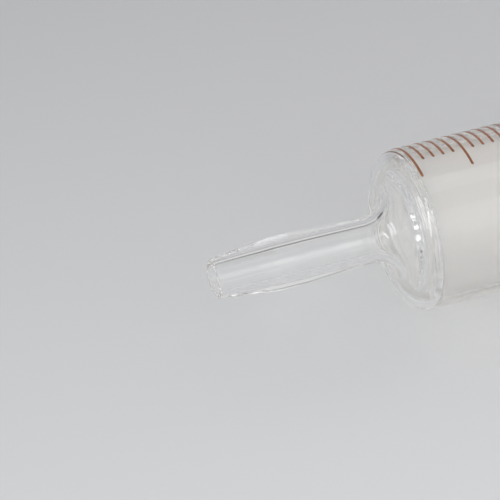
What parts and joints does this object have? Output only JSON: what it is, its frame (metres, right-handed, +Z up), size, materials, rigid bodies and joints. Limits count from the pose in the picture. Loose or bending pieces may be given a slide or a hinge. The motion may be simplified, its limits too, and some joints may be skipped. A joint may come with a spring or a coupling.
{
  "type": "glass gas syringe",
  "caption": "All-glass gas syringe: graduated barrel drawn in to an olive tubing nozzle, with a hollow ground plunger that slides in its bore.",
  "frame": {"origin": "on the bench under the middle of the syringe's length, as it lies on the flat of its finger flange", "axes": "+X along the syringe from the nozzle tip towards the thumb disc, +Z up, with the scale on top"},
  "size_m": [0.1816, 0.044, 0.03],
  "materials": {
    "clear_glass": "polished clear borosilicate glass",
    "ground_glass": "fine-ground, frosted borosilicate glass",
    "amber_scale": "fired-on brown scale, glossy as the glass round it"
  },
  "bodies": {
    "barrel_body": {"barrel": "clear_glass", "long_graduations": "amber_scale", "short_graduations": "amber_scale"},
    "plunger_body": {"plunger": "ground_glass"}
  },
  "joints": [
    {"name": "plunger_slide", "type": "slide", "parent": "barrel_body", "child": "plunger_body", "axis": [1, 0, 0], "range_m": [0, 0.09417]}
  ]
}
